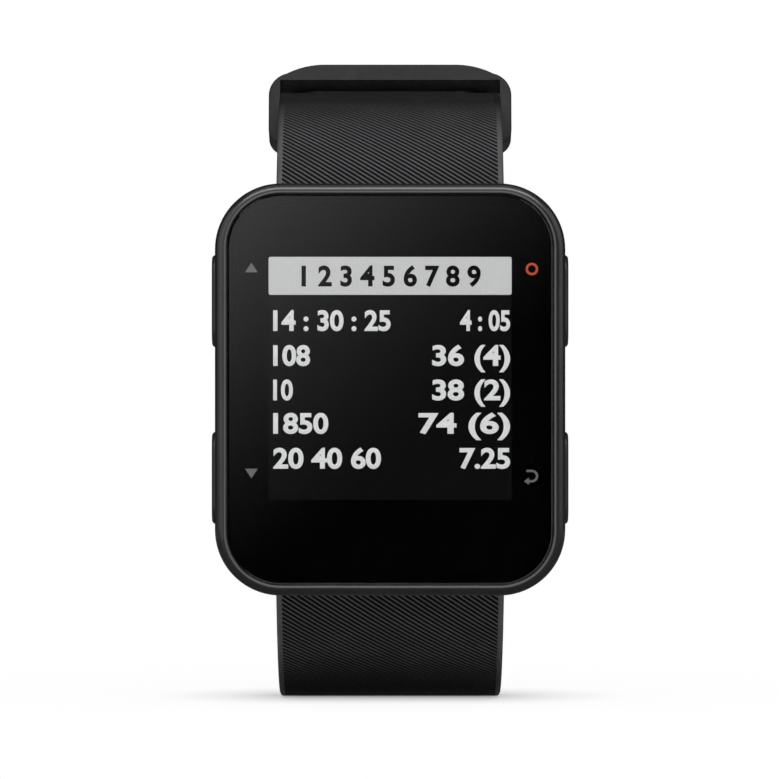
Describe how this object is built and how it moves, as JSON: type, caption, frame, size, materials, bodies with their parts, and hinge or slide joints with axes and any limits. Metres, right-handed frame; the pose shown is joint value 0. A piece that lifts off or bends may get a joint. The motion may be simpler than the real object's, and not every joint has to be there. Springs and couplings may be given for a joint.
{
  "type": "golf gps watch",
  "caption": "Square-faced golf GPS watch with side buttons, a glass-covered screen and a ribbed rubber strap buckled into a loop with a pin buckle and keepers.",
  "frame": {"origin": "middle of the flat outer face of the back cover", "axes": "+X to the right seen from the screen side, +Y out of the back of the case towards the wrist, +Z towards the strap end that carries the buckle"},
  "size_m": [0.0354, 0.0668, 0.0663],
  "materials": {
    "case_black": "fine moulded grain",
    "bezel_black": "satin",
    "lens_glass": "polished, black border on its back",
    "glue": "matt",
    "display": "polished",
    "frame_plastic": "matt",
    "flex": "satin",
    "antenna": "satin",
    "board": "solder mask",
    "steel": "bright",
    "can_steel": "satin",
    "switch": "matt",
    "battery_foil": "satin foil",
    "foam": "open cell",
    "button_black": "satin",
    "seal": "smooth",
    "cover": "fine grain",
    "gold": "plated",
    "strap_rubber": "ribbed, matt",
    "keeper_rubber": "smooth, matt",
    "buckle_metal": "black coating"
  },
  "bodies": {
    "watch": {"mid_case": "case_black", "bezel_ring": "bezel_black", "lens": "lens_glass", "lens_adhesive": "glue", "display_module": "display", "display_frame": "frame_plastic", "display_flex": "flex", "gps_antenna": "antenna", "main_board": "board", "board_screws": "steel", "shield_can": "can_steel", "tact_switches": "switch", "battery": "battery_foil", "battery_pad": "foam", "back_cover": "cover", "back_cover_gasket": "seal", "back_cover_screws": "steel", "charge_contacts": "gold", "contact_springs": "gold", "upper_lug_pin": "steel", "lower_lug_pin": "steel", "upper_strap": "strap_rubber", "lower_strap": "strap_rubber", "fixed_keeper": "keeper_rubber", "buckle_pin": "steel", "button_up_seal": "seal", "button_down_seal": "seal", "button_ok_seal": "seal", "button_back_seal": "seal"},
    "button_up": {"button_up": "button_black", "button_up_clip": "steel"},
    "button_down": {"button_down": "button_black", "button_down_clip": "steel"},
    "button_ok": {"button_ok": "button_black", "button_ok_clip": "steel"},
    "button_back": {"button_back": "button_black", "button_back_clip": "steel"},
    "keeper": {"strap_keeper": "keeper_rubber"},
    "buckle": {"buckle_frame": "buckle_metal"},
    "prong": {"buckle_prong": "buckle_metal"}
  },
  "joints": [
    {"name": "button_up_press", "type": "slide", "parent": "watch", "child": "button_up", "axis": [1, 0, 0], "range_m": [0, 0.0003], "stiffness_N_per_m": 300, "springref_m": -0.0005},
    {"name": "button_down_press", "type": "slide", "parent": "watch", "child": "button_down", "axis": [1, 0, 0], "range_m": [0, 0.0003], "stiffness_N_per_m": 300, "springref_m": -0.0005},
    {"name": "button_ok_press", "type": "slide", "parent": "watch", "child": "button_ok", "axis": [-1, 0, 0], "range_m": [0, 0.0003], "stiffness_N_per_m": 300, "springref_m": -0.0005},
    {"name": "button_back_press", "type": "slide", "parent": "watch", "child": "button_back", "axis": [-1, 0, 0], "range_m": [0, 0.0003], "stiffness_N_per_m": 300, "springref_m": -0.0005},
    {"name": "keeper_slide", "type": "hinge", "parent": "watch", "child": "keeper", "pos_m": [0, 0.019, -0.0005], "axis": [1, 0, 0], "range_deg": [-32, 48]},
    {"name": "buckle_pivot", "type": "hinge", "parent": "watch", "child": "buckle", "pos_m": [0, 0.04817, 0.00732], "axis": [1, 0, 0], "range_deg": [0, 10]},
    {"name": "prong_pivot", "type": "hinge", "parent": "buckle", "child": "prong", "pos_m": [0, 0.04817, 0.00732], "axis": [1, 0, 0], "range_deg": [0, 12]}
  ]
}
